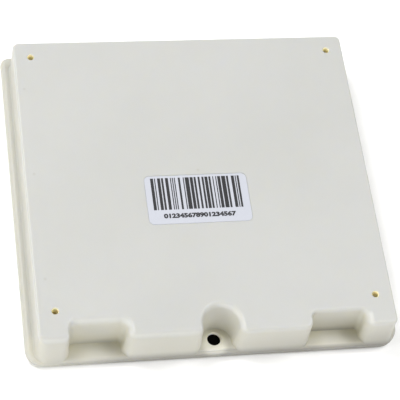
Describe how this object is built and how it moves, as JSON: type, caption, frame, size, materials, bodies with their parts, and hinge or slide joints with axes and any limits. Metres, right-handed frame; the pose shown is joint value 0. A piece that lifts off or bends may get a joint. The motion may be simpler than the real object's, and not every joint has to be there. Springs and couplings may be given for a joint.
{
  "type": "label deactivator pad",
  "caption": "Flat square plastic antenna pad of a shop security gate system, service side up, with mounting holes, a lead outlet and a pocketed lower edge.",
  "frame": {"origin": "centre of the bounding box, on the plane of the front cover that the pad lies on", "axes": "+X along the pocketed edge, +Y away from it, +Z out of the service face"},
  "size_m": [0.206, 0.198, 0.028],
  "materials": {
    "ivory_plastic": "fine moulded satin",
    "label_film": "satin printed film",
    "clear_lens": "polished",
    "green_laminate": "solder mask",
    "copper": "bright copper",
    "zinc_steel": "zinc plated",
    "bare_aluminium": "as extruded",
    "black_plastic": "moulded",
    "grey_plastic": "moulded",
    "green_plastic": "moulded",
    "white_nylon": "moulded",
    "black_rubber": "moulded",
    "grey_foam": "open cell foam"
  },
  "bodies": {
    "root": {"bottom_housing": "ivory_plastic", "front_cover": "ivory_plastic", "indicator_lens": "clear_lens", "outlet_seal": "black_rubber", "barcode_label": "label_film", "loop_carrier": "white_nylon", "transmit_loop": "copper", "receive_loop": "copper", "foam_strip_1": "grey_foam", "foam_strip_2": "grey_foam", "foam_strip_3": "grey_foam", "foam_strip_4": "grey_foam", "circuit_board": "green_laminate", "board_screw_1": "zinc_steel", "board_screw_2": "zinc_steel", "board_screw_3": "zinc_steel", "board_screw_4": "zinc_steel", "indicator_board": "green_laminate", "indicator_screw_1": "zinc_steel", "indicator_screw_2": "zinc_steel", "indicator_led": "green_plastic", "supply_terminal": "green_plastic", "loop_socket": "white_nylon", "indicator_socket": "white_nylon", "power_regulator": "black_plastic", "heat_sink": "bare_aluminium", "bulk_capacitor_1": "black_plastic", "bulk_capacitor_2": "black_plastic", "burst_capacitor": "grey_plastic", "supply_choke": "copper", "tuning_trimmer": "white_nylon", "receiver_screen": "zinc_steel", "clock_crystal": "zinc_steel", "beeper": "black_plastic", "controller_chip": "black_plastic", "receiver_chip": "black_plastic", "driver_chip": "black_plastic", "transmit_lead": "black_plastic", "receive_lead": "black_plastic", "indicator_lead": "black_plastic"}
  },
  "joints": []
}
